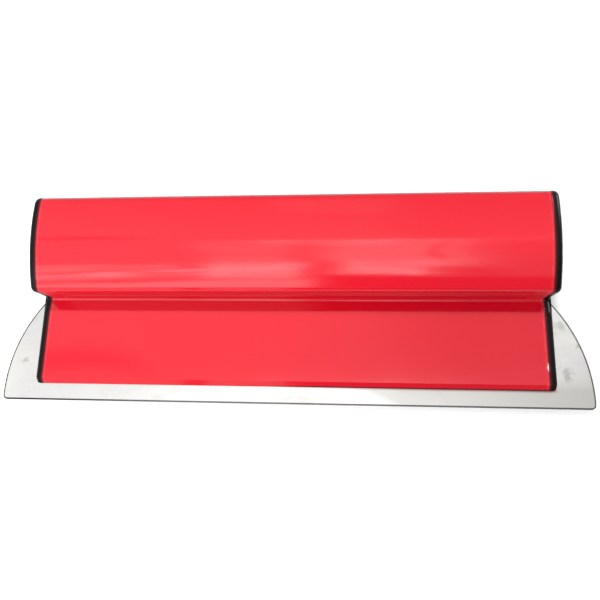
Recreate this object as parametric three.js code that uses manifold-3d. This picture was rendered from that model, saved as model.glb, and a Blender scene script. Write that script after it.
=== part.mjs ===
// Smoothing spatula for plaster and filler: a painted aluminium extrusion with a
// hollow grip and a slotted jaw, a thin steel blade with rounded ends, a clamp bar
// pressed by a row of grub screws, and two moulded end caps held by screws.
//
// Millimetres. The tool lies on its back: X runs along its length, +Y points from
// the blade's edge to the grip, and +Z is the side that faces the user.

import * as THREE from 'three';
import { mergeVertices } from 'three/addons/utils/BufferGeometryUtils.js';
import Module from 'manifold-3d';

const wasm = await Module();
wasm.setup();

// Overall sizes
const BLADE_WIDTH = 400;
const CAPPED_LENGTH = 352;
const CAP_THICKNESS = 4.8;
const GAP = 0.3;
const HANDLE_LENGTH = CAPPED_LENGTH - 2 * CAP_THICKNESS - 2 * GAP;

// Section of the extrusion, in the YZ plane
const TOP_Y = 69.3;
const WAIST_Y = 2.8;
const TIP_Y = -57.9;
const EDGE_Y = -69.3;
const JAW_DEPTH = 11;
const GRIP_DEPTH = 40;
const CREST_Y = 51;
const FRONT_RADIUS = 121;
const ROLL_RADIUS = 7;
const LOWER_RADIUS = 4.5;
const HEEL_RADIUS = 22;
const WAIST_FILLET = 2;
const LIP_RUN = 3.5;
const LIP_DROP = 2.8;
const VALLEY_START_Y = -7.8;
const VALLEY_DROP = 1.25;
const VALLEY_RADIUS = 8;
const TIP_BACK_RADIUS = 3.2;
const SCOOP_START_Y = -5;
const SCOOP_END_Y = 40;
const SCOOP_DEPTH = 4.5;
const WALL = 1.8;

// Blade and the slot that holds it
const BLADE_THICKNESS = 0.6;
const BLADE_Z = 6.6;
const BLADE_TOP_Y = WAIST_Y - 3;
const BLADE_SIDE_RADIUS = 101;
const BLADE_CORNER_RADIUS = 3.2;
const BLADE_SIDE_CENTRE_Y = EDGE_Y + 5;
const SLOT_HEIGHT = BLADE_THICKNESS + 2 * GAP;
const SLOT_BOTTOM_Z = BLADE_Z - SLOT_HEIGHT / 2;
const SLOT_TOP_Z = BLADE_Z + SLOT_HEIGHT / 2;
const GROOVE_TOP_Y = BLADE_TOP_Y + 2 * GAP;
const MOUTH_LENGTH = 4;
const NECK_LENGTH = 2.4;
const GROOVE_LENGTH = 3.6;

// Clamp bar and its grub screws
const BAR_LENGTH = 336;
const BAR_WIDTH = 14;
const BAR_THICKNESS = 1.9;
const BAR_TOP_Z = BLADE_Z - BLADE_THICKNESS / 2 - GAP;
const BAR_BOTTOM_Z = BAR_TOP_Z - BAR_THICKNESS;
const BAR_Y = TIP_Y + MOUTH_LENGTH + GAP + BAR_WIDTH / 2;
const BAR_EDGE_CHAMFER = 0.4;
const CHANNEL_FLOOR_Z = 3.1;
const CHANNEL_TOP_Y = BAR_Y + BAR_WIDTH / 2 + GAP;
const GRUB_COUNT = 7;
const GRUB_PITCH = 50;
const GRUB_DIAMETER = 5;
const GRUB_LENGTH = 3;
const GRUB_CHAMFER = 0.4;
const HEX_ACROSS_FLATS = 2.5;
const HEX_DEPTH = 1.8;

// Caps, their plugs and their screws
const CAP_EDGE_RADIUS = 3;
const CAP_EDGE_STEPS = 6;
const PLUG_DEPTH = 8;
const PLUG_WALL = 1.6;
const PLUG_FIT = 0.4;
const LEG_LUG_DEPTH = 6;
const PORT_RADIUS = 4.6;
const PORT_BITE = 0.7;
const PORT_SEAT = WALL + PORT_RADIUS - PORT_BITE;
const PORTS = [
  { name: 'lower', y: WAIST_Y + PORT_SEAT, z: 17 },
  { name: 'upper', y: TOP_Y - PORT_SEAT, z: 24 },
];
const SCREW_DIAMETER = 3.5;
const SCREW_LENGTH = 16;
const SCREW_HEAD_DIAMETER = 6.2;
const SCREW_HEAD_HEIGHT = 2;
const SCREW_SINK = 0.2;
const CROSS_WIDTH = 0.9;
const CROSS_SPAN = 3.8;
const CROSS_DEPTH = 1.4;

const redPaint = { color: 0xd8121f, roughness: 0.25, metalness: 0.1 };
const steel = { color: 0xd6d4d0, roughness: 0.3, metalness: 1 };
const zinc = { color: 0xb9bbbd, roughness: 0.35, metalness: 1 };
const blackSteel = { color: 0x2b2c2e, roughness: 0.45, metalness: 0.8 };
const plastic = { color: 0x161616, roughness: 0.5, metalness: 0 };
const aluminium = { color: 0xc4c7ca, roughness: 0.4, metalness: 1 };

// ---- solids ---------------------------------------------------------------

function toSolid(geometry) {
  const bare = geometry.index ? geometry.toNonIndexed() : geometry.clone();
  bare.deleteAttribute('normal');
  bare.deleteAttribute('uv');
  const merged = mergeVertices(bare, 1e-4);
  return new wasm.Manifold(new wasm.Mesh({
    numProp: 3,
    vertProperties: merged.attributes.position.array,
    triVerts: withoutSlivers(merged.index.array),
  }));
}

// Drops triangles that merging has left with two corners in one place.
function withoutSlivers(index) {
  const kept = [];
  for (let i = 0; i < index.length; i += 3) {
    const [a, b, c] = index.slice(i, i + 3);
    if (a !== b && b !== c && c !== a) kept.push(a, b, c);
  }
  return new Uint32Array(kept);
}

function toGeometry(solid) {
  const mesh = solid.getMesh();
  const geometry = new THREE.BufferGeometry();
  geometry.setAttribute('position', new THREE.BufferAttribute(mesh.vertProperties, 3));
  geometry.setIndex(new THREE.BufferAttribute(mesh.triVerts, 1));
  return geometry;
}

function cut(solid, tools) {
  return tools.reduce((rest, tool) => rest.subtract(tool), solid);
}

function piece(name, solid, look) {
  const mesh = new THREE.Mesh(toGeometry(solid), new THREE.MeshStandardMaterial(look));
  mesh.name = name;
  return mesh;
}

// An outline of (Y, Z) points carried along X from x0 to x1.
function alongX(outline, x0, x1) {
  const geometry = new THREE.ExtrudeGeometry(new THREE.Shape(outline), {
    depth: x1 - x0,
    bevelEnabled: false,
  });
  const turn = new THREE.Matrix4().makeBasis(
    new THREE.Vector3(0, 1, 0),
    new THREE.Vector3(0, 0, 1),
    new THREE.Vector3(1, 0, 0),
  );
  return toSolid(geometry.applyMatrix4(turn).translate(x0, 0, 0));
}

// A skin through outlines of equal point counts, each at its own x, closed at both ends.
function loftAlongX(rings) {
  const count = rings[0].outline.length;
  const positions = rings.flatMap(({ x, outline }) => outline.flatMap((p) => [x, p.x, p.y]));
  const end = THREE.ShapeUtils.triangulateShape(rings[0].outline, []);
  const last = (rings.length - 1) * count;
  const index = end.flatMap(([a, b, c]) => [a, c, b, last + a, last + b, last + c]);
  for (let ring = 0; ring < last; ring += count) {
    for (let j = 0; j < count; j += 1) {
      const a = ring + j;
      const b = ring + (j + 1) % count;
      index.push(a, b, a + count, b, b + count, a + count);
    }
  }
  const geometry = new THREE.BufferGeometry();
  geometry.setAttribute('position', new THREE.Float32BufferAttribute(positions, 3));
  geometry.setIndex(index);
  return toSolid(geometry);
}

function block(x0, x1, y0, y1, z0, z1) {
  const geometry = new THREE.BoxGeometry(x1 - x0, y1 - y0, z1 - z0);
  geometry.translate((x0 + x1) / 2, (y0 + y1) / 2, (z0 + z1) / 2);
  return toSolid(geometry);
}

// A turned solid about X; the profile is a list of [radius, x] from end to end.
function turnedAboutX(profile, y, z, segments = 28) {
  return toSolid(turnedGeometry(profile, segments).rotateZ(-Math.PI / 2).translate(0, y, z));
}

function turnedAboutZ(profile, x, y, segments = 28) {
  return toSolid(turnedGeometry(profile, segments).rotateX(Math.PI / 2).translate(x, y, 0));
}

function turnedGeometry(profile, segments) {
  const points = profile.map(([radius, height]) => new THREE.Vector2(radius, height));
  return new THREE.LatheGeometry(points, segments);
}

// ---- section outlines -----------------------------------------------------

const frontCentre = { y: CREST_Y, z: GRIP_DEPTH - FRONT_RADIUS };
const rollCentre = onFrontArc(TOP_Y - ROLL_RADIUS, ROLL_RADIUS);
const lowerCentre = onFrontArc(WAIST_Y + LOWER_RADIUS, LOWER_RADIUS);
const heelCentre = { y: TOP_Y - HEEL_RADIUS, z: HEEL_RADIUS };
const scoop = scoopArc();

// The centre of a circle of this radius that touches the front arc from inside.
function onFrontArc(y, radius) {
  const reach = FRONT_RADIUS - radius;
  return { y, z: frontCentre.z + Math.sqrt(reach ** 2 - (y - frontCentre.y) ** 2) };
}

function scoopArc() {
  const half = (SCOOP_END_Y - SCOOP_START_Y) / 2;
  const radius = (half ** 2 + SCOOP_DEPTH ** 2) / (2 * SCOOP_DEPTH);
  return { y: SCOOP_START_Y + half, z: SCOOP_DEPTH - radius, radius };
}

function frontAngle(centre) {
  return Math.atan2(centre.z - frontCentre.z, centre.y - frontCentre.y);
}

// Points along an arc; its last point is left to the curve that follows on from it.
function arc(centre, radius, from, to, steps, last = false) {
  const count = last ? steps + 1 : steps;
  return Array.from({ length: count }, (_, i) => {
    const angle = from + (to - from) * i / steps;
    return new THREE.Vector2(
      centre.y + radius * Math.cos(angle), centre.z + radius * Math.sin(angle));
  });
}

// The grip's heel, top, front and lower corner, drawn this far inside the skin.
function gripPoints(inset) {
  const upper = frontAngle(rollCentre);
  const lower = frontAngle(lowerCentre);
  return [
    ...arc(heelCentre, HEEL_RADIUS - inset, -Math.PI / 2, 0, 12, true),
    ...arc(rollCentre, ROLL_RADIUS - inset, 0, upper, 8),
    ...arc(frontCentre, FRONT_RADIUS - inset, upper, lower, 14),
    ...arc(lowerCentre, LOWER_RADIUS - inset, lower, Math.PI, 6, true),
  ];
}

function outerSection(inset = 0) {
  const scoopHalf = Math.acos((inset - scoop.z) / (scoop.radius + inset));
  const lipAngle = Math.atan2(LIP_DROP, LIP_RUN);
  const lipTop = TIP_Y + LIP_RUN + inset * Math.tan(lipAngle / 2);
  const lipEnd = JAW_DEPTH - LIP_DROP - inset * Math.tan(Math.PI / 4 - lipAngle / 2);
  const tipCentre = { y: TIP_Y + TIP_BACK_RADIUS, z: TIP_BACK_RADIUS };
  const waistCentre = { y: WAIST_Y - WAIST_FILLET, z: JAW_DEPTH - VALLEY_DROP + WAIST_FILLET };
  const shoulder = { y: VALLEY_START_Y, z: JAW_DEPTH - VALLEY_RADIUS };
  const rise = waistCentre.z - shoulder.z;
  const run = waistCentre.y - shoulder.y;
  const slope = Math.asin((VALLEY_RADIUS + WAIST_FILLET) / Math.hypot(run, rise)) - Math.atan2(rise, run);
  return [
    ...arc(scoop, scoop.radius + inset, Math.PI / 2 + scoopHalf, Math.PI / 2 - scoopHalf, 12, true),
    ...gripPoints(inset),
    ...arc(waistCentre, WAIST_FILLET + inset, 0, -Math.PI / 2 - slope, 6, true),
    ...arc(shoulder, VALLEY_RADIUS - inset, Math.PI / 2 - slope, Math.PI / 2, 2, true),
    new THREE.Vector2(lipTop, JAW_DEPTH - inset),
    new THREE.Vector2(TIP_Y + inset, lipEnd),
    ...arc(tipCentre, TIP_BACK_RADIUS - inset, Math.PI, Math.PI * 1.5, 5, true),
  ];
}

// The hollow of the grip, this far inside the outer skin.
function gripHollow(inset) {
  const radius = scoop.radius + inset;
  const near = Math.acos((WAIST_Y + inset - scoop.y) / radius);
  const far = Math.acos((SCOOP_END_Y - scoop.y) / radius);
  return [...arc(scoop, radius, near, far, 8, true), ...gripPoints(inset)];
}

// ---- sub-parts ------------------------------------------------------------

function jawVoids(x0, x1) {
  const neckTop = CHANNEL_TOP_Y + NECK_LENGTH;
  const grooveStart = GROOVE_TOP_Y - GROOVE_LENGTH;
  const barStart = TIP_Y + MOUTH_LENGTH;
  return [
    block(x0, x1, TIP_Y - 1, GROOVE_TOP_Y, SLOT_BOTTOM_Z, SLOT_TOP_Z),
    block(x0, x1, barStart, CHANNEL_TOP_Y, CHANNEL_FLOOR_Z, SLOT_TOP_Z),
    block(x0, x1, neckTop, grooveStart, WALL, JAW_DEPTH - WALL),
  ];
}

function grubPositions() {
  const first = -GRUB_PITCH * (GRUB_COUNT - 1) / 2;
  return Array.from({ length: GRUB_COUNT }, (_, i) => first + i * GRUB_PITCH);
}

function grubHole(x) {
  const radius = GRUB_DIAMETER / 2 + GAP;
  const top = CHANNEL_FLOOR_Z + 1;
  return turnedAboutZ([[0, -1], [radius, -1], [radius, top], [0, top]], x, BAR_Y);
}

function portHole(port, x0, x1) {
  const radius = SCREW_DIAMETER / 2 + GAP;
  return turnedAboutX([[0, x0], [radius, x0], [radius, x1], [0, x1]], port.y, port.z);
}

function portBoss(port, x0, x1, extra = 0) {
  const radius = PORT_RADIUS + extra;
  return turnedAboutX([[0, x0], [radius, x0], [radius, x1], [0, x1]], port.y, port.z);
}

function handleExtrusion() {
  const end = HANDLE_LENGTH / 2;
  const past = end + 1;
  const hollow = cut(
    alongX(gripHollow(WALL), -past, past),
    PORTS.map((port) => portBoss(port, -past - 1, past + 1)),
  );
  const solid = cut(alongX(outerSection(), -end, end), [
    hollow,
    ...PORTS.map((port) => portHole(port, -past, past)),
    ...jawVoids(-past, past),
    ...grubPositions().map(grubHole),
  ]);
  return piece('handle_extrusion', solid, redPaint);
}

function bladeOutline() {
  const shape = new THREE.Shape();
  const half = BLADE_WIDTH / 2;
  const centreX = half - BLADE_SIDE_RADIUS;
  const topAngle = Math.asin((BLADE_TOP_Y - BLADE_SIDE_CENTRE_Y) / BLADE_SIDE_RADIUS);
  const cornerY = EDGE_Y + BLADE_CORNER_RADIUS;
  const cornerX = half - BLADE_CORNER_RADIUS;
  shape.moveTo(-cornerX, EDGE_Y);
  shape.lineTo(cornerX, EDGE_Y);
  shape.absarc(cornerX, cornerY, BLADE_CORNER_RADIUS, -Math.PI / 2, 0, false);
  shape.absarc(centreX, BLADE_SIDE_CENTRE_Y, BLADE_SIDE_RADIUS, 0, topAngle, false);
  shape.absarc(
    -centreX, BLADE_SIDE_CENTRE_Y, BLADE_SIDE_RADIUS, Math.PI - topAngle, Math.PI, false);
  shape.absarc(-cornerX, cornerY, BLADE_CORNER_RADIUS, Math.PI, Math.PI * 1.5, false);
  return shape;
}

function blade() {
  const geometry = new THREE.ExtrudeGeometry(bladeOutline(), {
    depth: BLADE_THICKNESS,
    bevelEnabled: false,
    curveSegments: 14,
  });
  geometry.translate(0, 0, BLADE_Z - BLADE_THICKNESS / 2);
  return piece('blade', toSolid(geometry), steel);
}

function clampBar() {
  const left = BAR_Y - BAR_WIDTH / 2;
  const right = BAR_Y + BAR_WIDTH / 2;
  const shoulder = BAR_TOP_Z - BAR_EDGE_CHAMFER;
  const outline = [
    new THREE.Vector2(left, BAR_BOTTOM_Z),
    new THREE.Vector2(right, BAR_BOTTOM_Z),
    new THREE.Vector2(right, shoulder),
    new THREE.Vector2(right - BAR_EDGE_CHAMFER, BAR_TOP_Z),
    new THREE.Vector2(left + BAR_EDGE_CHAMFER, BAR_TOP_Z),
    new THREE.Vector2(left, shoulder),
  ];
  return piece('clamp_bar', alongX(outline, -BAR_LENGTH / 2, BAR_LENGTH / 2), aluminium);
}

function grubScrew(x, index) {
  const radius = GRUB_DIAMETER / 2;
  const tip = BAR_BOTTOM_Z - GAP;
  const back = tip - GRUB_LENGTH;
  const body = turnedAboutZ([
    [0, back],
    [radius - GRUB_CHAMFER, back],
    [radius, back + GRUB_CHAMFER],
    [radius, tip - GRUB_CHAMFER],
    [radius - GRUB_CHAMFER, tip],
    [0, tip],
  ], x, BAR_Y);
  const hexRadius = HEX_ACROSS_FLATS / Math.sqrt(3);
  const hexTop = back + HEX_DEPTH;
  const socket = turnedAboutZ(
    [[0, back - 1], [hexRadius, back - 1], [hexRadius, hexTop], [0, hexTop]], x, BAR_Y, 6);
  return piece(`clamp_screw_${index + 1}`, body.subtract(socket), blackSteel);
}

// A plate with the section's outline, its outer edge rounded over.
function capPlate() {
  const outer = CAPPED_LENGTH / 2;
  const shoulder = outer - CAP_EDGE_RADIUS;
  const rings = [{ x: outer - CAP_THICKNESS, outline: outerSection() }];
  for (let step = 0; step <= CAP_EDGE_STEPS; step += 1) {
    const angle = Math.PI / 2 * step / CAP_EDGE_STEPS;
    rings.push({
      x: shoulder + CAP_EDGE_RADIUS * Math.sin(angle),
      outline: outerSection(CAP_EDGE_RADIUS * (1 - Math.cos(angle))),
    });
  }
  return loftAlongX(rings);
}

// The hollow plug that centres the cap in the grip, clear of the screw bosses.
function capPlug() {
  const inner = CAPPED_LENGTH / 2 - CAP_THICKNESS;
  const start = inner - PLUG_DEPTH;
  const ring = alongX(gripHollow(WALL + PLUG_FIT), start, inner + 0.5);
  const bore = alongX(gripHollow(WALL + PLUG_FIT + PLUG_WALL), start - 1, inner);
  const bosses = PORTS.map((port) => portBoss(port, start - 1, inner, GAP));
  return cut(ring, [bore, ...bosses]);
}

function legLug() {
  const inner = CAPPED_LENGTH / 2 - CAP_THICKNESS;
  const low = CHANNEL_TOP_Y + NECK_LENGTH + PLUG_FIT;
  const high = GROOVE_TOP_Y - GROOVE_LENGTH - PLUG_FIT;
  return block(
    inner - LEG_LUG_DEPTH, inner + 0.5, low, high, WALL + PLUG_FIT, SLOT_BOTTOM_Z - GAP);
}

function screwProfile(grow, length) {
  const head = CAPPED_LENGTH / 2 - SCREW_SINK;
  const headRadius = SCREW_HEAD_DIAMETER / 2 + grow;
  const shaftRadius = SCREW_DIAMETER / 2 + grow;
  const neck = head - SCREW_HEAD_HEIGHT;
  return [[0, head - length], [shaftRadius, head - length], [shaftRadius, neck], [headRadius, head]];
}

function screwSeat(port) {
  const profile = screwProfile(GAP, SCREW_LENGTH);
  const mouth = CAPPED_LENGTH / 2 + 1;
  const headRadius = SCREW_HEAD_DIAMETER / 2 + GAP;
  return turnedAboutX([...profile, [headRadius, mouth], [0, mouth]], port.y, port.z);
}

function capScrew(port, side) {
  const top = CAPPED_LENGTH / 2 - SCREW_SINK;
  const profile = [...screwProfile(0, SCREW_LENGTH), [0, top]];
  const arm = CROSS_SPAN / 2;
  const slim = CROSS_WIDTH / 2;
  const floor = top - CROSS_DEPTH;
  const solid = cut(turnedAboutX(profile, port.y, port.z), [
    block(floor, top + 1, port.y - arm, port.y + arm, port.z - slim, port.z + slim),
    block(floor, top + 1, port.y - slim, port.y + slim, port.z - arm, port.z + arm),
  ]);
  return piece(`cap_screw_${side}_${port.name}`, onSide(solid, side), zinc);
}

function endCap(side) {
  const past = CAPPED_LENGTH / 2 + 1;
  const slitStart = CAPPED_LENGTH / 2 - CAP_THICKNESS - LEG_LUG_DEPTH - 1;
  const solid = cut(capPlate().add(capPlug()).add(legLug()), [
    block(slitStart, past, TIP_Y - 1, GROOVE_TOP_Y, SLOT_BOTTOM_Z, SLOT_TOP_Z),
    ...PORTS.map(screwSeat),
  ]);
  return piece(`end_cap_${side}`, onSide(solid, side), plastic);
}

// The right-hand piece as built, or its mirror image for the left-hand end.
function onSide(solid, side) {
  return side === 'right' ? solid : solid.mirror([1, 0, 0]);
}

// ---- assembly -------------------------------------------------------------

const tool = new THREE.Group();
tool.add(handleExtrusion());
tool.add(blade());
tool.add(clampBar());
grubPositions().forEach((x, i) => tool.add(grubScrew(x, i)));
for (const side of ['left', 'right']) {
  tool.add(endCap(side));
  PORTS.forEach((port) => tool.add(capScrew(port, side)));
}

export default tool;
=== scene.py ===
"""Looks of the skimming blade: fine meshes, materials, studio light and camera, in metres."""

import math

import bmesh
import bpy
from mathutils import Matrix, Vector
from mathutils.geometry import tessellate_polygon


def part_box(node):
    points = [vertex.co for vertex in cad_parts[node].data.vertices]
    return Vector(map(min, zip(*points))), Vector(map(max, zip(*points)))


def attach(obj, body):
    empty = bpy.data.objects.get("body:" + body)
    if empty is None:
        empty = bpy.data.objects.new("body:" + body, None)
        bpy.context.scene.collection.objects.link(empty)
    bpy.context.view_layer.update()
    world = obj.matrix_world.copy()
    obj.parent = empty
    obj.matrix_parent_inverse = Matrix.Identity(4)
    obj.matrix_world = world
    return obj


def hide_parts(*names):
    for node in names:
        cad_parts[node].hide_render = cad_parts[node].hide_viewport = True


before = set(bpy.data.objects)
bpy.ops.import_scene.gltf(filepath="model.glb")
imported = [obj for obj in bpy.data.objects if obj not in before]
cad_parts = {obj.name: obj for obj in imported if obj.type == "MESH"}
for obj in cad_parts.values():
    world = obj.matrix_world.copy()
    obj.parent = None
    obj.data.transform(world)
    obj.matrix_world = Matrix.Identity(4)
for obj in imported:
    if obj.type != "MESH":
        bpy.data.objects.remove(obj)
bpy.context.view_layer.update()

MM = 0.001

# Driving sizes in millimetres, as in the CAD source
GAP = 0.3
WAIST_Y = 2.8
JAW_DEPTH = 11.0
CREST_Y = 51.0
FRONT_RADIUS = 121.0
ROLL_RADIUS = 7.0
LOWER_RADIUS = 4.5
HEEL_RADIUS = 22.0
WAIST_FILLET = 2.0
LIP_RUN = 3.5
LIP_DROP = 2.8
VALLEY_START_Y = -7.8
VALLEY_DROP = 1.25
VALLEY_RADIUS = 8.0
TIP_BACK_RADIUS = 3.2
SCOOP_START_Y = -5.0
SCOOP_END_Y = 40.0
SCOOP_DEPTH = 4.5
WALL = 1.8
MOUTH_LENGTH = 4.0
NECK_LENGTH = 2.4
GROOVE_LENGTH = 3.6
CHANNEL_FLOOR_Z = 3.1
PORT_RADIUS = 4.6
PORT_BITE = 0.7
PORT_HOLE_RADIUS = 2.05
CAP_EDGE_RADIUS = 3.0
PLUG_DEPTH = 8.0
PLUG_WALL = 1.6
PLUG_FIT = 0.4
LUG_DEPTH = 6.0
HEX_ACROSS_FLATS = 2.5
HEX_DEPTH = 1.8
BLADE_SIDE_RADIUS = 101.0
BLADE_SIDE_CENTRE = 5.0
BLADE_CORNER_RADIUS = 3.2
SCREW_RADIUS = 1.75
SCREW_HEAD_HEIGHT = 2.0

# Details that only this model has, in millimetres
SHELL_EDGE = 0.15
HOLE_COUNTERSINK = 1.4
SCREW_THREAD_PITCH = 1.3
SCREW_THREAD_DEPTH = 0.42
GRUB_THREAD_PITCH = 0.8
GRUB_THREAD_DEPTH = 0.36
BEVEL_TOP_INSET = 1.1
BEVEL_DROP = 0.12

# How far a cutting tool reaches past the surface that it cuts, in millimetres
OVERRUN = 1.0

# Marks of use, in millimetres; a smear is (X, Y, radius)
CHIP_X = 170.3
CHIP_Y = -43.0
CHIP_HALF_LENGTH = 3.4
CHIP_HALF_WIDTH = 0.6
SMEARS = [
    (183.0, -46.0, 5.0),
    (184.0, -50.5, 3.0),
    (180.5, -15.0, 4.5),
    (191.5, -29.0, 2.0),
    (-186.5, -42.0, 2.6),
]

# The painted shade's left edge on the blade leans this many millimetres in X for each one in Y
SHADE_SLANT = 2.2

# Marks on the jaw show only in front of this height
MARKS_FROM_Z = 6.5


def box_mm(node):
    low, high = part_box(node)
    return Vector(low) / MM, Vector(high) / MM


shell_low, shell_high = box_mm("handle_extrusion")
blade_low, blade_high = box_mm("blade")
bar_low, bar_high = box_mm("clamp_bar")
cap_low, cap_high = box_mm("end_cap_right")

TIP_Y = shell_low.y
TOP_Y = shell_high.y
GRIP_DEPTH = shell_high.z
SHELL_END = shell_high.x
CAP_INNER = SHELL_END + GAP
CAP_OUTER = cap_high.x
SLOT_BOTTOM_Z = blade_low.z - GAP
SLOT_TOP_Z = blade_high.z + GAP
GROOVE_TOP_Y = blade_high.y + 2 * GAP
CHANNEL_TOP_Y = bar_high.y + GAP
PORT_SEAT = WALL + PORT_RADIUS - PORT_BITE
PORTS = {"lower": (WAIST_Y + PORT_SEAT, 17.0), "upper": (TOP_Y - PORT_SEAT, 24.0)}
GRUBS = [f"clamp_screw_{i}" for i in range(1, 8)]


# ---- section ---------------------------------------------------------------

def on_front_arc(y, radius):
    reach = FRONT_RADIUS - radius
    return y, GRIP_DEPTH - FRONT_RADIUS + math.sqrt(reach ** 2 - (y - CREST_Y) ** 2)


FRONT_CENTRE = (CREST_Y, GRIP_DEPTH - FRONT_RADIUS)
ROLL_CENTRE = on_front_arc(TOP_Y - ROLL_RADIUS, ROLL_RADIUS)
LOWER_CENTRE = on_front_arc(WAIST_Y + LOWER_RADIUS, LOWER_RADIUS)
SCOOP_HALF = (SCOOP_END_Y - SCOOP_START_Y) / 2
SCOOP_RADIUS = (SCOOP_HALF ** 2 + SCOOP_DEPTH ** 2) / (2 * SCOOP_DEPTH)
SCOOP_CENTRE = (SCOOP_START_Y + SCOOP_HALF, SCOOP_DEPTH - SCOOP_RADIUS)


def arc(centre, radius, start, end, steps, last=False):
    """Points along an arc; the last one is left to the curve that follows on."""
    angles = [start + (end - start) * i / steps for i in range(steps + (1 if last else 0))]
    return [(centre[0] + radius * math.cos(a), centre[1] + radius * math.sin(a)) for a in angles]


def front_angle(centre):
    return math.atan2(centre[1] - FRONT_CENTRE[1], centre[0] - FRONT_CENTRE[0])


def grip_points(inset):
    upper, lower = front_angle(ROLL_CENTRE), front_angle(LOWER_CENTRE)
    heel = (TOP_Y - HEEL_RADIUS, HEEL_RADIUS)
    return (
        arc(heel, HEEL_RADIUS - inset, -math.pi / 2, 0, 28, last=True)
        + arc(ROLL_CENTRE, ROLL_RADIUS - inset, 0, upper, 16)
        + arc(FRONT_CENTRE, FRONT_RADIUS - inset, upper, lower, 48)
        + arc(LOWER_CENTRE, LOWER_RADIUS - inset, lower, math.pi, 14, last=True)
    )


def outer_section(inset=0.0):
    half = math.acos((inset - SCOOP_CENTRE[1]) / (SCOOP_RADIUS + inset))
    lip = math.atan2(LIP_DROP, LIP_RUN)
    waist = (WAIST_Y - WAIST_FILLET, JAW_DEPTH - VALLEY_DROP + WAIST_FILLET)
    shoulder = (VALLEY_START_Y, JAW_DEPTH - VALLEY_RADIUS)
    reach = (waist[0] - shoulder[0], waist[1] - shoulder[1])
    slope = math.asin((VALLEY_RADIUS + WAIST_FILLET) / math.hypot(*reach)) - math.atan2(*reversed(reach))
    tip = (TIP_Y + TIP_BACK_RADIUS, TIP_BACK_RADIUS)
    lip_top = (TIP_Y + LIP_RUN + inset * math.tan(lip / 2), JAW_DEPTH - inset)
    lip_end = (TIP_Y + inset, JAW_DEPTH - LIP_DROP - inset * math.tan(math.pi / 4 - lip / 2))
    return (
        arc(SCOOP_CENTRE, SCOOP_RADIUS + inset, math.pi / 2 + half, math.pi / 2 - half, 32, last=True)
        + grip_points(inset)
        + arc(waist, WAIST_FILLET + inset, 0, -math.pi / 2 - slope, 14, last=True)
        + arc(shoulder, VALLEY_RADIUS - inset, math.pi / 2 - slope, math.pi / 2, 4, last=True)
        + [lip_top, lip_end]
        + arc(tip, TIP_BACK_RADIUS - inset, math.pi, 1.5 * math.pi, 12, last=True)
    )


def grip_hollow(inset):
    radius = SCOOP_RADIUS + inset
    near = math.acos((WAIST_Y + inset - SCOOP_CENTRE[0]) / radius)
    far = math.acos((SCOOP_END_Y - SCOOP_CENTRE[0]) / radius)
    return arc(SCOOP_CENTRE, radius, near, far, 20, last=True) + grip_points(inset)


# ---- mesh tools ------------------------------------------------------------

def new_object(name, verts, faces):
    """A mesh object from points in millimetres."""
    mesh = bpy.data.meshes.new(name)
    mesh.from_pydata([Vector(v) * MM for v in verts], [], faces)
    mesh.validate()
    made = bpy.data.objects.new(name, mesh)
    bpy.context.scene.collection.objects.link(made)
    return made


def loft(name, rings):
    """A closed skin through rings of equal point counts; each ring is a list of 3-D points."""
    count = len(rings[0])
    verts = [p for ring in rings for p in ring]
    faces = []
    for base in range(0, (len(rings) - 1) * count, count):
        for j in range(count):
            k = (j + 1) % count
            faces.append((base + j, base + k, base + count + k, base + count + j))
    last = (len(rings) - 1) * count
    fill = tessellate_polygon([[Vector(p) for p in rings[0]]])
    faces += [tuple(t) for t in fill]
    faces += [tuple(last + i for i in t) for t in fill]
    made = new_object(name, verts, faces)
    point_faces_out(made)
    return made


def point_faces_out(made):
    work = bmesh.new()
    work.from_mesh(made.data)
    bmesh.ops.remove_doubles(work, verts=work.verts, dist=1e-7)
    bmesh.ops.recalc_face_normals(work, faces=work.faces)
    work.to_mesh(made.data)
    work.free()


def section_rings(stations):
    """Rings for loft(): each station is (x, outline in Y and Z)."""
    return [[(x, y, z) for y, z in outline] for x, outline in stations]


def prism(name, outline, x0, x1):
    return loft(name, section_rings([(x0, outline), (x1, outline)]))


def cuboid(name, x0, x1, y0, y1, z0, z1):
    return prism(name, [(y0, z0), (y1, z0), (y1, z1), (y0, z1)], x0, x1)


def turned(name, profile, centre, axis, segments=48):
    """A solid of revolution: profile of (radius, height) from end to end, along axis X or Z."""
    rings = []
    for radius, height in profile:
        ring = []
        for i in range(segments):
            angle = 2 * math.pi * i / segments
            u, v = radius * math.cos(angle), radius * math.sin(angle)
            place = (height, u, v) if axis == "X" else (u, v, height)
            ring.append(tuple(Vector(place) + Vector(centre)))
        rings.append(ring)
    return loft(name, rings)


def carve(target, tools):
    """Cuts the tools out of the target and deletes them."""
    for tool in tools:
        cutter = target.modifiers.new("cut", "BOOLEAN")
        cutter.operation = "DIFFERENCE"
        cutter.solver = "MANIFOLD"
        cutter.object = tool
    apply_modifiers(target)
    for tool in tools:
        bpy.data.objects.remove(tool)


def unite(target, others):
    for other in others:
        joiner = target.modifiers.new("join", "BOOLEAN")
        joiner.operation = "UNION"
        joiner.solver = "MANIFOLD"
        joiner.object = other
    apply_modifiers(target)
    for other in others:
        bpy.data.objects.remove(other)


def apply_modifiers(target):
    graph = bpy.context.evaluated_depsgraph_get()
    mesh = bpy.data.meshes.new_from_object(target.evaluated_get(graph))
    target.modifiers.clear()
    old = target.data
    target.data = mesh
    bpy.data.meshes.remove(old)


def smooth(made, angle=30):
    """Smooth shading with creases where faces meet at more than this angle."""
    made.data.polygons.foreach_set("use_smooth", [True] * len(made.data.polygons))
    made.data.set_sharp_from_angle(angle=math.radians(angle))
    level = made.modifiers.new("flat faces stay flat", "WEIGHTED_NORMAL")
    level.keep_sharp = True
    apply_modifiers(made)
    return made


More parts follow.
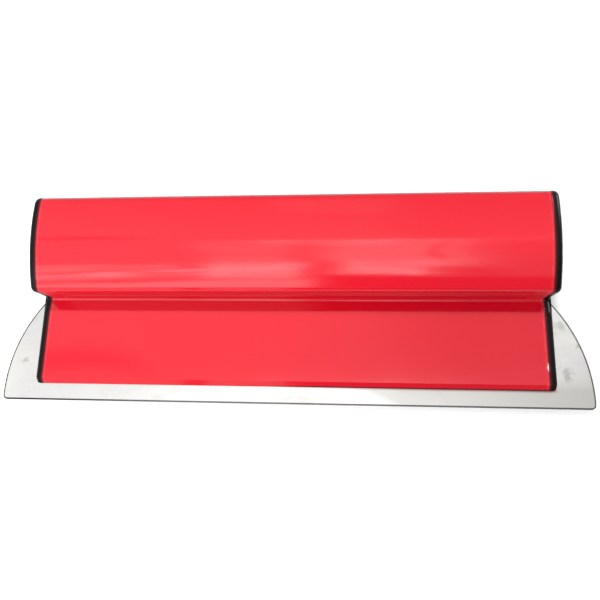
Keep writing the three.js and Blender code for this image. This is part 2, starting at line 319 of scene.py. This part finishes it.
def mirrored(name, source):
    """The left-hand twin of a right-hand piece."""
    mesh = source.data.copy()
    mesh.transform(Matrix.Scale(-1, 4, (1, 0, 0)))
    mesh.flip_normals()
    made = bpy.data.objects.new(name, mesh)
    bpy.context.scene.collection.objects.link(made)
    return made


# ---- pieces ----------------------------------------------------------------

def bosses(x0, x1, grow=0.0):
    radius = PORT_RADIUS + grow
    return [
        turned("boss", [(radius, x0), (radius, x1)], (0, *place), "X") for place in PORTS.values()
    ]


def grub_pocket(node):
    """A clearance hole with a small countersink, through the back wall of the jaw."""
    low, high = box_mm(node)
    radius = (high.x - low.x) / 2 + GAP
    centre = ((low.x + high.x) / 2, (low.y + high.y) / 2, 0)
    top = CHANNEL_FLOOR_Z + OVERRUN
    mouth = (radius + HOLE_COUNTERSINK, -OVERRUN)
    return turned("pocket", [mouth, (radius, 0.4), (radius, top)], centre, "Z")


def make_shell():
    soft = SHELL_EDGE
    stations = [
        (-SHELL_END, outer_section(soft)),
        (-SHELL_END + soft * 0.3, outer_section(soft * 0.3)),
        (-SHELL_END + soft, outer_section()),
        (SHELL_END - soft, outer_section()),
        (SHELL_END - soft * 0.3, outer_section(soft * 0.3)),
        (SHELL_END, outer_section(soft)),
    ]
    shell = loft("handle_shell", section_rings(stations))
    past = SHELL_END + OVERRUN
    hollow = prism("hollow", grip_hollow(WALL), -past, past)
    carve(hollow, bosses(-past - OVERRUN, past + OVERRUN))
    neck_top = CHANNEL_TOP_Y + NECK_LENGTH
    groove_start = GROOVE_TOP_Y - GROOVE_LENGTH
    holes = [
        turned("port", [(PORT_HOLE_RADIUS, -past), (PORT_HOLE_RADIUS, past)], (0, *place), "X")
        for place in PORTS.values()
    ]
    slots = [
        cuboid("slot", -past, past, TIP_Y - OVERRUN, GROOVE_TOP_Y, SLOT_BOTTOM_Z, SLOT_TOP_Z),
        cuboid("channel", -past, past, TIP_Y + MOUTH_LENGTH, CHANNEL_TOP_Y, CHANNEL_FLOOR_Z, SLOT_TOP_Z),
        cuboid("void", -past, past, neck_top, groove_start, WALL, JAW_DEPTH - WALL),
    ]
    carve(shell, [hollow, *holes, *slots, *map(grub_pocket, GRUBS)])
    return smooth(shell, 24)


def make_cap():
    rings = [(CAP_INNER, outer_section())]
    steps = 14
    for step in range(steps + 1):
        angle = math.pi / 2 * step / steps
        inset = CAP_EDGE_RADIUS * (1 - math.cos(angle))
        rings.append((CAP_OUTER - CAP_EDGE_RADIUS * (1 - math.sin(angle)), outer_section(inset)))
    cap = loft("cap_right", section_rings(rings))
    start = CAP_INNER - PLUG_DEPTH
    plug = prism("plug", grip_hollow(WALL + PLUG_FIT), start, CAP_INNER + 0.5)
    bore = prism("bore", grip_hollow(WALL + PLUG_FIT + PLUG_WALL), start - OVERRUN, CAP_INNER)
    carve(plug, [bore, *bosses(start - OVERRUN, CAP_INNER, GAP)])
    lug = cuboid(
        "lug",
        CAP_INNER - LUG_DEPTH,
        CAP_INNER + 0.5,
        CHANNEL_TOP_Y + NECK_LENGTH + PLUG_FIT,
        GROOVE_TOP_Y - GROOVE_LENGTH - PLUG_FIT,
        WALL + PLUG_FIT,
        SLOT_BOTTOM_Z - GAP,
    )
    unite(cap, [plug, lug])
    past = CAP_OUTER + OVERRUN
    slit = cuboid(
        "slit",
        start - OVERRUN,
        past,
        TIP_Y - OVERRUN,
        GROOVE_TOP_Y,
        SLOT_BOTTOM_Z,
        SLOT_TOP_Z,
    )
    carve(cap, [slit, *(screw_seat(port, past + 0.3) for port in PORTS)])
    return smooth(cap, 24)


def screw_seat(port, past):
    """The countersunk hole in a cap for one screw, cut out to just past the cap's face."""
    low, high = box_mm(f"cap_screw_right_{port}")
    head = (high.y - low.y) / 2 + GAP
    profile = [
        (PORT_HOLE_RADIUS, low.x - OVERRUN),
        (PORT_HOLE_RADIUS, high.x - SCREW_HEAD_HEIGHT),
        (head, high.x),
        (head + 0.3, past),
    ]
    return turned("seat", profile, (0, *PORTS[port]), "X")


def blade_outline(inset):
    """The blade's outline, this far inside its edge; the top edge stays where it is."""
    half = blade_high.x
    corner = BLADE_CORNER_RADIUS
    side_y = blade_low.y + BLADE_SIDE_CENTRE
    radius = BLADE_SIDE_RADIUS - inset
    rise = math.asin((blade_high.y - side_y) / radius)
    right = arc((half - corner, blade_low.y + corner), corner - inset, -math.pi / 2, 0, 12, True)
    right += arc((half - BLADE_SIDE_RADIUS, side_y), radius, 0, rise, 56, True)
    left = [(-x, y) for x, y in reversed(right)]
    return right + left


def make_blade():
    """Sheet steel with its edges ground to a fine bevel on the face and softened behind."""
    low, high = blade_low.z, blade_high.z
    levels = [
        (low, 0.25),
        (low + BEVEL_DROP, 0.0),
        (low + 0.2, 0.0),
        (high - BEVEL_DROP, 0.32),
        (high, BEVEL_TOP_INSET),
    ]
    rings = [[(x, y, z) for x, y in blade_outline(inset)] for z, inset in levels]
    return smooth(loft("blade_sheet", rings), 9)


def cross_recess(name, x, y, z, depth):
    """Two crossed tapering wings, for a cross-head driver."""
    wings = []
    for turn in (0, math.pi / 2):
        c, s = math.cos(turn), math.sin(turn)

        def wing(span, width):
            corners = [(-span, -width), (span, -width), (span, width), (-span, width)]
            return [(y + c * u - s * v, z + s * u + c * v) for u, v in corners]

        rings = section_rings([(x - depth, wing(0.55, 0.24)), (x + 0.3, wing(1.95, 0.5))])
        wings.append(loft(f"{name}_wing", rings))
    return wings


def threaded(name, centre, axis, stations, pitch, depth, start, end, hand=1):
    """A turned solid with a helical thread from start to end; stations are (radius, height)."""
    segments = 40
    rows = []
    for (r0, h0), (r1, h1) in zip(stations, stations[1:]):
        steps = max(1, int(abs(h1 - h0) / (pitch / 8)))
        rows += [(r0 + (r1 - r0) * i / steps, h0 + (h1 - h0) * i / steps) for i in range(steps)]
    rows.append(stations[-1])
    rings = []
    for radius, height in rows:
        ring = []
        for i in range(segments):
            angle = 2 * math.pi * i / segments
            cut = 0.0
            if start < height < end:
                phase = (height / pitch - hand * i / segments) % 1.0
                cut = depth * abs(2 * phase - 1)
            u = (radius - cut) * math.cos(angle)
            v = (radius - cut) * math.sin(angle)
            place = (height, u, v) if axis == "X" else (u, v, height)
            ring.append(tuple(Vector(place) + Vector(centre)))
        rings.append(ring)
    return loft(name, rings)


def make_cap_screw(name, port, hand):
    """A right-end screw; hand is -1 for a screw that will be mirrored to the left end."""
    low, high = box_mm(f"cap_screw_right_{port}")
    y, z = PORTS[port]
    head = (high.y - low.y) / 2
    neck = high.x - SCREW_HEAD_HEIGHT
    stations = [
        (0.9, low.x),
        (SCREW_RADIUS, low.x + 1.6),
        (SCREW_RADIUS, neck),
        (head - 0.12, high.x - 0.22),
        (head, high.x - 0.12),
        (head - 0.1, high.x - 0.02),
        (head * 0.7, high.x),
    ]
    thread = (SCREW_THREAD_PITCH, SCREW_THREAD_DEPTH, low.x + 0.2, neck - 1.5)
    screw = threaded(name, (0, y, z), "X", stations, *thread, hand)
    carve(screw, cross_recess(name, high.x, y, z, 1.5))
    return smooth(screw, 35)


def make_grub(node):
    low, high = box_mm(node)
    radius = (high.x - low.x) / 2
    centre = ((low.x + high.x) / 2, (low.y + high.y) / 2, 0)
    stations = [
        (radius - 0.55, low.z),
        (radius - 0.05, low.z + 0.35),
        (radius, low.z + 0.45),
        (radius, high.z - 0.5),
        (radius - 0.5, high.z),
    ]
    thread = (GRUB_THREAD_PITCH, GRUB_THREAD_DEPTH, low.z + 0.4, high.z - 0.4)
    grub = threaded(f"grub_{node[-1]}", centre, "Z", stations, *thread)
    hexagon = HEX_ACROSS_FLATS / math.sqrt(3)
    flats = [(hexagon, low.z - OVERRUN), (hexagon, low.z + HEX_DEPTH)]
    socket = turned("socket", flats, centre, "Z", segments=6)
    chamfer = [(hexagon + 0.9, low.z - 0.7), (hexagon - 0.1, low.z + 0.3)]
    rim = turned("rim", chamfer, centre, "Z")
    carve(grub, [socket, rim])
    return smooth(grub, 35)


# ---- materials -------------------------------------------------------------

class Graph:
    """A small helper for building node trees."""

    def __init__(self, owner, coordinate):
        owner.use_nodes = True
        self.nodes = owner.node_tree.nodes
        self.links = owner.node_tree.links
        self.place = self.nodes.new("ShaderNodeTexCoord").outputs[coordinate]

    def link(self, source, target):
        self.links.new(source, target)

    def noise(self, scale, detail=3.0, stretch=(1, 1, 1), roughness=0.5):
        mapping = self.nodes.new("ShaderNodeMapping")
        mapping.inputs["Scale"].default_value = stretch
        self.link(self.place, mapping.inputs["Vector"])
        noise = self.nodes.new("ShaderNodeTexNoise")
        noise.inputs["Scale"].default_value = scale
        noise.inputs["Detail"].default_value = detail
        noise.inputs["Roughness"].default_value = roughness
        self.link(mapping.outputs["Vector"], noise.inputs["Vector"])
        return noise.outputs["Fac"]

    def ramp(self, source, low, high, value_low=0.0, value_high=1.0, kind="LINEAR"):
        node = self.nodes.new("ShaderNodeMapRange")
        node.interpolation_type = kind
        node.inputs["From Min"].default_value = low
        node.inputs["From Max"].default_value = high
        node.inputs["To Min"].default_value = value_low
        node.inputs["To Max"].default_value = value_high
        self.link(source, node.inputs["Value"])
        return node.outputs["Result"]

    def math(self, operation, a, b):
        node = self.nodes.new("ShaderNodeMath")
        node.operation = operation
        for socket, value in zip(node.inputs, (a, b)):
            if isinstance(value, (int, float)):
                socket.default_value = value
            else:
                self.link(value, socket)
        return node.outputs["Value"]

    def mix(self, fac, a, b):
        node = self.nodes.new("ShaderNodeMix")
        node.data_type = "RGBA"
        self.link(fac, node.inputs["Factor"])
        for socket, value in ((node.inputs["A"], a), (node.inputs["B"], b)):
            if isinstance(value, tuple):
                socket.default_value = (*value, 1.0)
            else:
                self.link(value, socket)
        return node.outputs["Result"]

    def bump(self, height, distance, strength=1.0, after=None):
        node = self.nodes.new("ShaderNodeBump")
        node.inputs["Distance"].default_value = distance
        node.inputs["Strength"].default_value = strength
        self.link(height, node.inputs["Height"])
        if after is not None:
            self.link(after, node.inputs["Normal"])
        return node.outputs["Normal"]

    def axis(self, name):
        node = self.nodes.new("ShaderNodeSeparateXYZ")
        self.link(self.place, node.inputs["Vector"])
        return node.outputs[name]


class Material(Graph):
    """A material over the piece's own coordinates."""

    def __init__(self, name):
        self.material = bpy.data.materials.new(name)
        super().__init__(self.material, "Object")
        self.shader = self.nodes["Principled BSDF"]

    def set(self, **values):
        for name, value in values.items():
            self.shader.inputs[name.replace("_", " ")].default_value = value

    def paint(self, name, source):
        """Links a varying value or colour to the shader's socket of this name."""
        self.link(source, self.shader.inputs[name])

    def band(self, source, start, end, value_low=0.0, value_high=1.0):
        """A ramp with its ends in millimetres."""
        return self.ramp(source, start * MM, end * MM, value_low, value_high)

    def outward(self):
        """Distance from the middle plane, the same to the left and to the right."""
        return self.math("ABSOLUTE", self.axis("X"), 0.0)

    def away(self, source, place):
        """Distance from a place in millimetres along one axis."""
        return self.math("ABSOLUTE", self.math("SUBTRACT", source, place * MM), 0.0)

    def times(self, *factors):
        product = factors[0]
        for factor in factors[1:]:
            product = self.math("MULTIPLY", product, factor)
        return product

    def front(self):
        """1 in the jaw's front half and 0 in its back half."""
        return self.band(self.axis("Z"), MARKS_FROM_Z - 0.5, MARKS_FROM_Z + 0.5)


def chip(m):
    """A long flake knocked off the paint at the jaw's right end."""
    wander = m.ramp(m.noise(600, 2), 0.0, 1.0, -0.7 * MM, 0.7 * MM)
    across = m.away(m.math("ADD", m.axis("X"), wander), CHIP_X)
    along = m.away(m.axis("Y"), CHIP_Y)
    width = m.band(along, 0.0, CHIP_HALF_LENGTH, CHIP_HALF_WIDTH * MM, 0.05 * MM)
    inside = m.band(m.math("SUBTRACT", width, across), 0.0, 0.15)
    ends = m.band(along, CHIP_HALF_LENGTH, CHIP_HALF_LENGTH - 0.2)
    return m.times(m.front(), inside, ends)


def lip_edge_painted_shade(m):
    """Painted shade along the jaw's lower front edge, where the lip overhangs the blade, thinning out to
    the left.
    """
    edge = m.band(m.axis("Y"), TIP_Y + 0.9, TIP_Y + 0.5)
    spread = m.band(m.axis("X"), -15, 20)
    return m.times(edge, spread, m.front())


def top_edge_painted_shade(m):
    """Painted shade along the roll of the top edge, where it turns away from the light."""
    back = m.band(m.axis("Y"), TOP_Y - 4.5, TOP_Y - 1.2, 0.0, 0.8)
    above = m.band(m.axis("Z"), ROLL_CENTRE[1] - 1.0, ROLL_CENTRE[1] + 2.5)
    return m.times(back, above)


def waist_dust(m):
    """Dust that dulls the two ends of the step under the grip."""
    ends = m.band(m.outward(), SHELL_END - 16, SHELL_END - 8)
    on_step = m.band(m.away(m.axis("Y"), WAIST_Y), 1.0, 0.4, 0.0, 0.6)
    return m.times(ends, on_step)


def paint_coat_and_shade(m):
    """The red itself in random patches, darkened low down and to the right by painted shade."""
    patches = m.ramp(m.noise(9, 2, (0.4, 1, 1)), 0.35, 0.65)
    coat = m.mix(patches, (0.565, 0.0032, 0.0155), (0.53, 0.0027, 0.0140))
    # Painted shade: the red darkens towards the right end and down over the jaw.
    painted_shade_right = m.times(m.band(m.axis("X"), 5, 120), m.band(m.axis("Y"), 35, -5))
    return m.mix(painted_shade_right, coat, (0.455, 0.0024, 0.0120))


def red_powder_coat():
    m = Material("red_powder_coat")
    # A paler, pinker band just in from each end of the shell, in patches.
    rim = m.band(m.outward(), SHELL_END - 2.4, SHELL_END - 1.5)
    patchy = m.ramp(m.noise(220, 4), 0.35, 0.6, 0.2, 1.0)
    near_seam_tint = m.mix(m.times(rim, patchy), paint_coat_and_shade(m), (0.56, 0.022, 0.038))
    # Painted shade: dark maroon in the gap next to each cap and along the top edge.
    seam_painted_shade = m.band(m.outward(), SHELL_END - 1.4, SHELL_END)
    with_painted_shade = m.mix(m.math("MAXIMUM", seam_painted_shade, top_edge_painted_shade(m)), near_seam_tint, (0.13, 0.004, 0.011))
    chipped = m.mix(chip(m), with_painted_shade, (0.68, 0.46, 0.47))
    # Painted shade: a near-black line along the lip's lower edge.
    m.paint("Base Color", m.mix(lip_edge_painted_shade(m), chipped, (0.05, 0.003, 0.004)))
    gloss = m.ramp(m.noise(30, 3, (0.5, 1, 1)), 0.3, 0.7, 0.06, 0.10)
    m.paint("Roughness", m.math("MAXIMUM", gloss, waist_dust(m)))
    draw_lines = m.bump(m.noise(1, 2, (6, 700, 700)), 0.00002, 0.35)
    m.paint("Normal", m.bump(m.noise(420, 2), 0.00004, 0.35, after=draw_lines))
    m.set(IOR=1.5, Specular_IOR_Level=0.5)
    return m.material


def smear(m, x, y, radius):
    """A patch of dried filler dust with ragged edges."""
    place = m.nodes.new("ShaderNodeVectorMath")
    place.operation = "DISTANCE"
    m.link(m.place, place.inputs[0])
    place.inputs[1].default_value = (x * MM, y * MM, blade_high.z * MM)
    ragged = m.ramp(m.noise(320, 4), 0.3, 0.7, -0.6 * radius * MM, 0.6 * radius * MM)
    reach = m.math("ADD", place.outputs["Value"], ragged)
    return m.band(reach, radius, 0.2 * radius)


def lip_shadow(m):
    """Painted shadow and red reflection of the jaw's lip on the blade, along the line where it enters
    the jaw, towards the right end.
    """
    below = m.band(m.axis("Y"), TIP_Y - 1.3, TIP_Y - 0.3)
    above = m.band(m.axis("Y"), TIP_Y + 2.0, TIP_Y + 0.6)
    spread = m.band(m.axis("X"), -15, 90)
    inside = m.band(m.axis("X"), CAP_OUTER + 1.0, CAP_OUTER - 1.5)
    return m.times(m.times(below, above), m.times(spread, inside))


def blade_right_painted_shade(m):
    """Painted shade on the blade's working edge, right of a slanting line."""
    slant = m.times(m.math("SUBTRACT", m.axis("Y"), TIP_Y * MM), SHADE_SLANT)
    right = m.band(m.math("ADD", m.axis("X"), slant), 40, 56)
    return m.times(right, m.band(m.axis("Y"), TIP_Y + 9, TIP_Y))


def brushed_blade():
    m = Material("brushed_blade_steel")
    fine = m.noise(1, 4, (20, 2600, 2600), 0.6)
    grain = m.noise(420, 3, (1, 1, 1), 0.6)
    smudge = m.noise(26, 4, (0.6, 1, 1), 0.6)
    cloud = m.noise(9, 3, (1, 1.6, 1))
    tone = m.mix(m.ramp(fine, 0.3, 0.7), (0.645, 0.64, 0.63), (0.70, 0.697, 0.69))
    tone = m.mix(m.ramp(grain, 0.35, 0.65, 0.0, 0.5), tone, (0.615, 0.61, 0.595))
    tone = m.mix(m.ramp(cloud, 0.42, 0.58), tone, (0.74, 0.725, 0.695))
    tone = m.mix(m.ramp(smudge, 0.52, 0.72, 0.0, 0.55), tone, (0.42, 0.41, 0.40))
    for place in SMEARS:
        tone = m.mix(m.times(smear(m, *place), 0.45), tone, (0.30, 0.29, 0.28))
    # Painted shade: the blade darker towards its right end.
    tone = m.mix(m.times(blade_right_painted_shade(m), 0.8), tone, (0.49, 0.475, 0.455))
    # Painted shadow and reflection: a brownish red line along the lip.
    m.paint("Base Color", m.mix(m.times(lip_shadow(m), 0.75), tone, (0.30, 0.10, 0.09)))
    brushed = m.ramp(fine, 0.2, 0.8, 0.24, 0.32)
    m.paint("Roughness", m.math("ADD", brushed, m.ramp(smudge, 0.4, 0.7, 0.0, 0.14)))
    m.paint("Normal", m.bump(m.math("ADD", fine, grain), 0.000008, 0.5))
    m.set(Metallic=1.0)
    return m.material


def ground_edge():
    m = Material("ground_blade_edge")
    fine = m.noise(1, 3, (900, 900, 900), 0.6)
    tone = m.mix(fine, (0.08, 0.079, 0.078), (0.15, 0.149, 0.148))
    # Painted shade: the edge darkens towards the left end, so that it shows as a dark outline there.
    left_painted_shade = m.band(m.axis("X"), -60, -180)
    m.paint("Base Color", m.mix(left_painted_shade, tone, (0.022, 0.022, 0.022)))
    m.paint("Roughness", m.ramp(fine, 0.3, 0.7, 0.3, 0.42))
    m.set(Metallic=1.0)
    return m.material


def moulded_black():
    m = Material("moulded_black_plastic")
    grain = m.noise(900, 3)
    cloud = m.noise(40, 3)
    tone = m.mix(cloud, (0.0025, 0.0023, 0.0023), (0.005, 0.0046, 0.0046))
    # A dark maroon tint on the cap's first millimetre next to the shell.
    near = m.band(m.outward(), CAP_INNER, CAP_INNER + 1.2, 1.0, 0.0)
    near_seam_tint = m.times(m.times(near, near), m.ramp(grain, 0.2, 0.8, 0.7, 1.0))
    m.paint("Base Color", m.mix(near_seam_tint, tone, (0.13, 0.008, 0.013)))
    m.paint("Roughness", m.ramp(cloud, 0.3, 0.7, 0.24, 0.34))
    m.paint("Normal", m.bump(grain, 0.00004, 0.4))
    m.set(IOR=1.5, Specular_IOR_Level=0.11)
    return m.material


def metal(name, light, dark, rough_low, rough_high):
    m = Material(name)
    fine = m.noise(300, 4)
    m.paint("Base Color", m.mix(m.ramp(fine, 0.35, 0.65), light, dark))
    m.paint("Roughness", m.ramp(fine, 0.3, 0.7, rough_low, rough_high))
    m.paint("Normal", m.bump(fine, 0.00002, 0.3))
    m.set(Metallic=1.0)
    return m.material


def mill_aluminium():
    m = Material("mill_finish_aluminium")
    lines = m.noise(1, 3, (10, 1200, 1200))
    m.paint("Base Color", m.mix(lines, (0.62, 0.63, 0.64), (0.76, 0.77, 0.78)))
    m.paint("Roughness", m.ramp(lines, 0.3, 0.7, 0.3, 0.45))
    m.paint("Normal", m.bump(lines, 0.00002, 0.4))
    m.set(Metallic=1.0)
    return m.material


def pale_floor():
    m = Material("pale_floor")
    m.paint("Base Color", m.mix(m.noise(3, 3), (0.90, 0.90, 0.90), (0.93, 0.93, 0.93)))
    m.set(Roughness=0.9, Specular_IOR_Level=0.1)
    return m.material


# ---- build -----------------------------------------------------------------

# A blade face whose normal leans further from Z than this belongs to the ground edge
FLAT_FACE = 0.995


def dress(piece, material, body, slot_name, *nodes):
    piece.data.materials.clear()
    piece.data.materials.append(material)
    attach(piece, body)
    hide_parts(*nodes)
    return piece


red = red_powder_coat()
plastic = moulded_black()
zinc = metal("bright_zinc", (0.74, 0.75, 0.77), (0.62, 0.63, 0.65), 0.18, 0.3)
oxide = metal("black_oxide_steel", (0.10, 0.10, 0.105), (0.06, 0.06, 0.065), 0.32, 0.45)

dress(make_shell(), red, "handle", "red_paint", "handle_extrusion")

right_cap = make_cap()
left_cap = mirrored("cap_left", right_cap)
dress(right_cap, plastic, "handle", "cap_plastic", "end_cap_right")
dress(left_cap, plastic, "handle", "cap_plastic", "end_cap_left")

for port in PORTS:
    right_screw = make_cap_screw(f"screw_right_{port}", port, 1)
    opposite = make_cap_screw(f"screw_pattern_{port}", port, -1)
    left_screw = mirrored(f"screw_left_{port}", opposite)
    bpy.data.objects.remove(opposite)
    dress(right_screw, zinc, "handle", "screw_zinc", f"cap_screw_right_{port}")
    dress(left_screw, zinc, "handle", "screw_zinc", f"cap_screw_left_{port}")

for node in GRUBS:
    dress(make_grub(node), oxide, node, "grub_steel", node)

blade = dress(make_blade(), brushed_blade(), "blade", "blade_steel", "blade")
blade.data.materials.append(ground_edge())
for face in blade.data.polygons:
    if abs(face.normal.z) < FLAT_FACE:
        face.material_index = 1

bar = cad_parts["clamp_bar"]
bar.data.materials.clear()
bar.data.materials.append(mill_aluminium())


# ---- studio ----------------------------------------------------------------

FLOOR_HALF = 8000.0


def make_floor():
    size = FLOOR_HALF
    verts = [(-size, -size, 0), (size, -size, 0), (size, size, 0), (-size, size, 0)]
    floor = new_object("floor", verts, [(0, 1, 2, 3)])
    floor.data.materials.append(pale_floor())


def softbox(name, centre, size, radiance):
    """A rectangular lamp facing the part; its power follows from its brightness."""
    data = bpy.data.lights.new(name, "AREA")
    data.shape = "RECTANGLE"
    data.size, data.size_y = size
    data.energy = radiance * math.pi * size[0] * size[1]
    lamp = bpy.data.objects.new(name, data)
    bpy.context.scene.collection.objects.link(lamp)
    lamp.location = centre
    lamp.rotation_mode = "QUATERNION"
    lamp.rotation_quaternion = (-Vector(centre)).to_track_quat("-Z", "Y")
    return lamp


class Room(Graph):
    """The room around the part, as brightness over the direction's X and Y."""

    def __init__(self, world):
        super().__init__(world, "Generated")
        self.x = self.wavy("X", 5.0, 0.05)
        self.y = self.wavy("Y", 7.0, 0.022)

    def wavy(self, name, scale, sway):
        drift = self.ramp(self.noise(scale, 1), 0.0, 1.0, -sway, sway)
        return self.math("ADD", self.axis(name), drift)

    def curve(self, source, stops):
        """A soft curve through (place, level) stops between -1 and 1."""
        node = self.nodes.new("ShaderNodeValToRGB")
        node.color_ramp.interpolation = "B_SPLINE"
        while len(node.color_ramp.elements) < len(stops):
            node.color_ramp.elements.new(0.5)
        for element, (place, level) in zip(node.color_ramp.elements, stops):
            element.position = 0.5 + place / 2
            element.color = (level, level, level, 1.0)
        self.link(self.ramp(source, -1.0, 1.0), node.inputs["Fac"])
        return node.outputs["Color"]

    def patch(self, left, right, low, high, side=0.03, end=0.02, top=None):
        """A soft-edged rectangle of directions: 1 inside and 0 outside."""
        top = end if top is None else top
        edges = [
            (self.x, left - side, left + side), (self.x, right + side, right - side),
            (self.y, low - end, low + end), (self.y, high + top, high - top),
        ]
        inside = [self.ramp(source, a, b, kind="SMOOTHSTEP") for source, a, b in edges]
        across = self.math("MULTIPLY", inside[0], inside[1])
        along = self.math("MULTIPLY", inside[2], inside[3])
        return self.math("MULTIPLY", across, along)

    def add(self, light, patch, level):
        return self.math("ADD", light, self.math("MULTIPLY", patch, level))

    def dim(self, light, patch, share):
        return self.math("MULTIPLY", light, self.ramp(patch, 0.0, 1.0, 1.0, share))


ACROSS = [(-0.9, 0.9), (-0.5, 1.15), (-0.2, 1.32), (0.1, 1.22), (0.35, 0.95), (0.9, 0.55)]
ALONG = [(-0.95, 1.25), (-0.6, 1.1), (-0.2, 1.0), (0.15, 1.0), (0.5, 0.75), (0.9, 0.45)]
HORIZON_LEVEL = 0.6
ROOM_LEVEL = 1.3


def lit_windows(room, light):
    """Two cloudy windows, a streaked patch to their left and a plain one to the lower left."""
    clouds = room.ramp(room.noise(4.0, 2, (1.0, 3.5, 1.0)), 0.3, 0.7, 0.65, 1.35)
    streaks = room.ramp(room.noise(10.0, 1, (0.8, 5.0, 1.0)), 0.38, 0.62, 0.0, 1.8)
    windows = [
        (room.patch(-0.27, -0.10, -0.40, 0.065, top=0.012), 0.55),
        (room.patch(-0.26, -0.09, -0.40, -0.22, end=0.04), 1.5),
        (room.patch(-0.03, 0.20, -0.36, 0.065, side=0.05, top=0.012), 0.95),
        (room.patch(-0.15, 0.08, 0.0, 0.065, side=0.04, end=0.03, top=0.012), 0.7),
        (room.patch(0.0, 0.15, -0.36, -0.20, side=0.04, end=0.03), 1.2),
    ]
    for patch, level in windows:
        light = room.add(light, room.math("MULTIPLY", patch, clouds), level)
    left = room.patch(-0.75, -0.26, -0.37, -0.23, side=0.06, end=0.03)
    light = room.add(light, room.math("MULTIPLY", left, streaks), 1.5)
    return room.add(light, room.patch(-0.80, -0.05, -0.56, -0.42), 1.5)


def shaded(room, light):
    """Darker patches: broad ones below and to the right, narrow ones at the windows."""
    shades = [
        (room.patch(-0.04, 1.6, -0.72, -0.37, side=0.03), 0.2),
        (room.patch(-0.12, 1.6, -1.2, -0.75, side=0.015), 0.1),
        (room.patch(-0.29, -0.255, -1.2, -0.75, side=0.008), 0.2),
        (room.patch(-0.075, -0.02, -0.37, -0.22, side=0.025, end=0.05), 0.6),
        (room.patch(0.15, 0.26, -0.37, -0.27, side=0.04, end=0.03), 0.45),
        (room.patch(0.25, 1.6, -0.37, 0.04, side=0.05, end=0.03), 0.68),
        (room.patch(-0.60, -0.38, 0.072, 0.10, side=0.05, end=0.006), 0.5),
        (room.patch(0.148, 0.168, -0.18, 0.02, side=0.006, end=0.05), 0.5),
        (room.patch(0.10, 0.60, 0.085, 0.60, side=0.08, end=0.02, top=0.1), 0.8),
        (room.patch(0.46, 1.6, -1.2, 1.2, side=0.08), 0.4),
    ]
    for patch, share in shades:
        light = room.dim(light, patch, share)
    return light


def make_world():
    """A pale room seen in the gloss of the part, plain near the horizon."""
    world = bpy.data.worlds.new("studio")
    room = Room(world)
    light = room.math("MULTIPLY", room.curve(room.x, ACROSS), room.curve(room.y, ALONG))
    light = shaded(room, lit_windows(room, light))
    clear = room.ramp(room.axis("Z"), 0.18, 0.30, kind="SMOOTHSTEP")
    horizon = room.ramp(clear, 0.0, 1.0, HORIZON_LEVEL, 0.0)
    light = room.math("ADD", room.math("MULTIPLY", light, clear), horizon)
    light = room.math("MULTIPLY", light, ROOM_LEVEL)
    shade = room.nodes["Background"]
    shade.inputs["Color"].default_value = (1, 1, 1, 1)
    room.link(light, shade.inputs["Strength"])
    bpy.context.scene.world = world


CAMERA_PLACE = Vector((0.0414, -0.0795, 0.3796))
CAMERA_AIM = Vector((0.0092, -0.0007, 0.0200))
CAMERA_ROLL = math.radians(-21.55)


def make_camera():
    data = bpy.data.cameras.new("camera")
    data.sensor_width = 36.0
    data.lens = 33.0
    data.clip_start = 0.01
    camera = bpy.data.objects.new("camera", data)
    bpy.context.scene.collection.objects.link(camera)
    back = (CAMERA_PLACE - CAMERA_AIM).normalized()
    level = Vector((0, 0, 1)).cross(back).normalized()
    upright = back.cross(level)
    side = level * math.cos(CAMERA_ROLL) + upright * math.sin(CAMERA_ROLL)
    turn = Matrix((side, back.cross(side), back)).transposed()
    camera.matrix_world = Matrix.Translation(CAMERA_PLACE) @ turn.to_4x4()
    bpy.context.scene.camera = camera


make_floor()
make_world()
fill = softbox("fill", (-0.55, -0.40, 0.38), (0.50, 0.30), 8.5)
fill.visible_glossy = False
key = softbox("key", (0.0, 0.68, 1.12), (0.30, 0.24), 46.0)
key.visible_glossy = False
glint = softbox("glint", (1.6, 1.1, 1.0), (0.8, 0.7), 24.0)
glint.visible_diffuse = False
make_camera()
bpy.context.scene.view_settings.view_transform = "Standard"
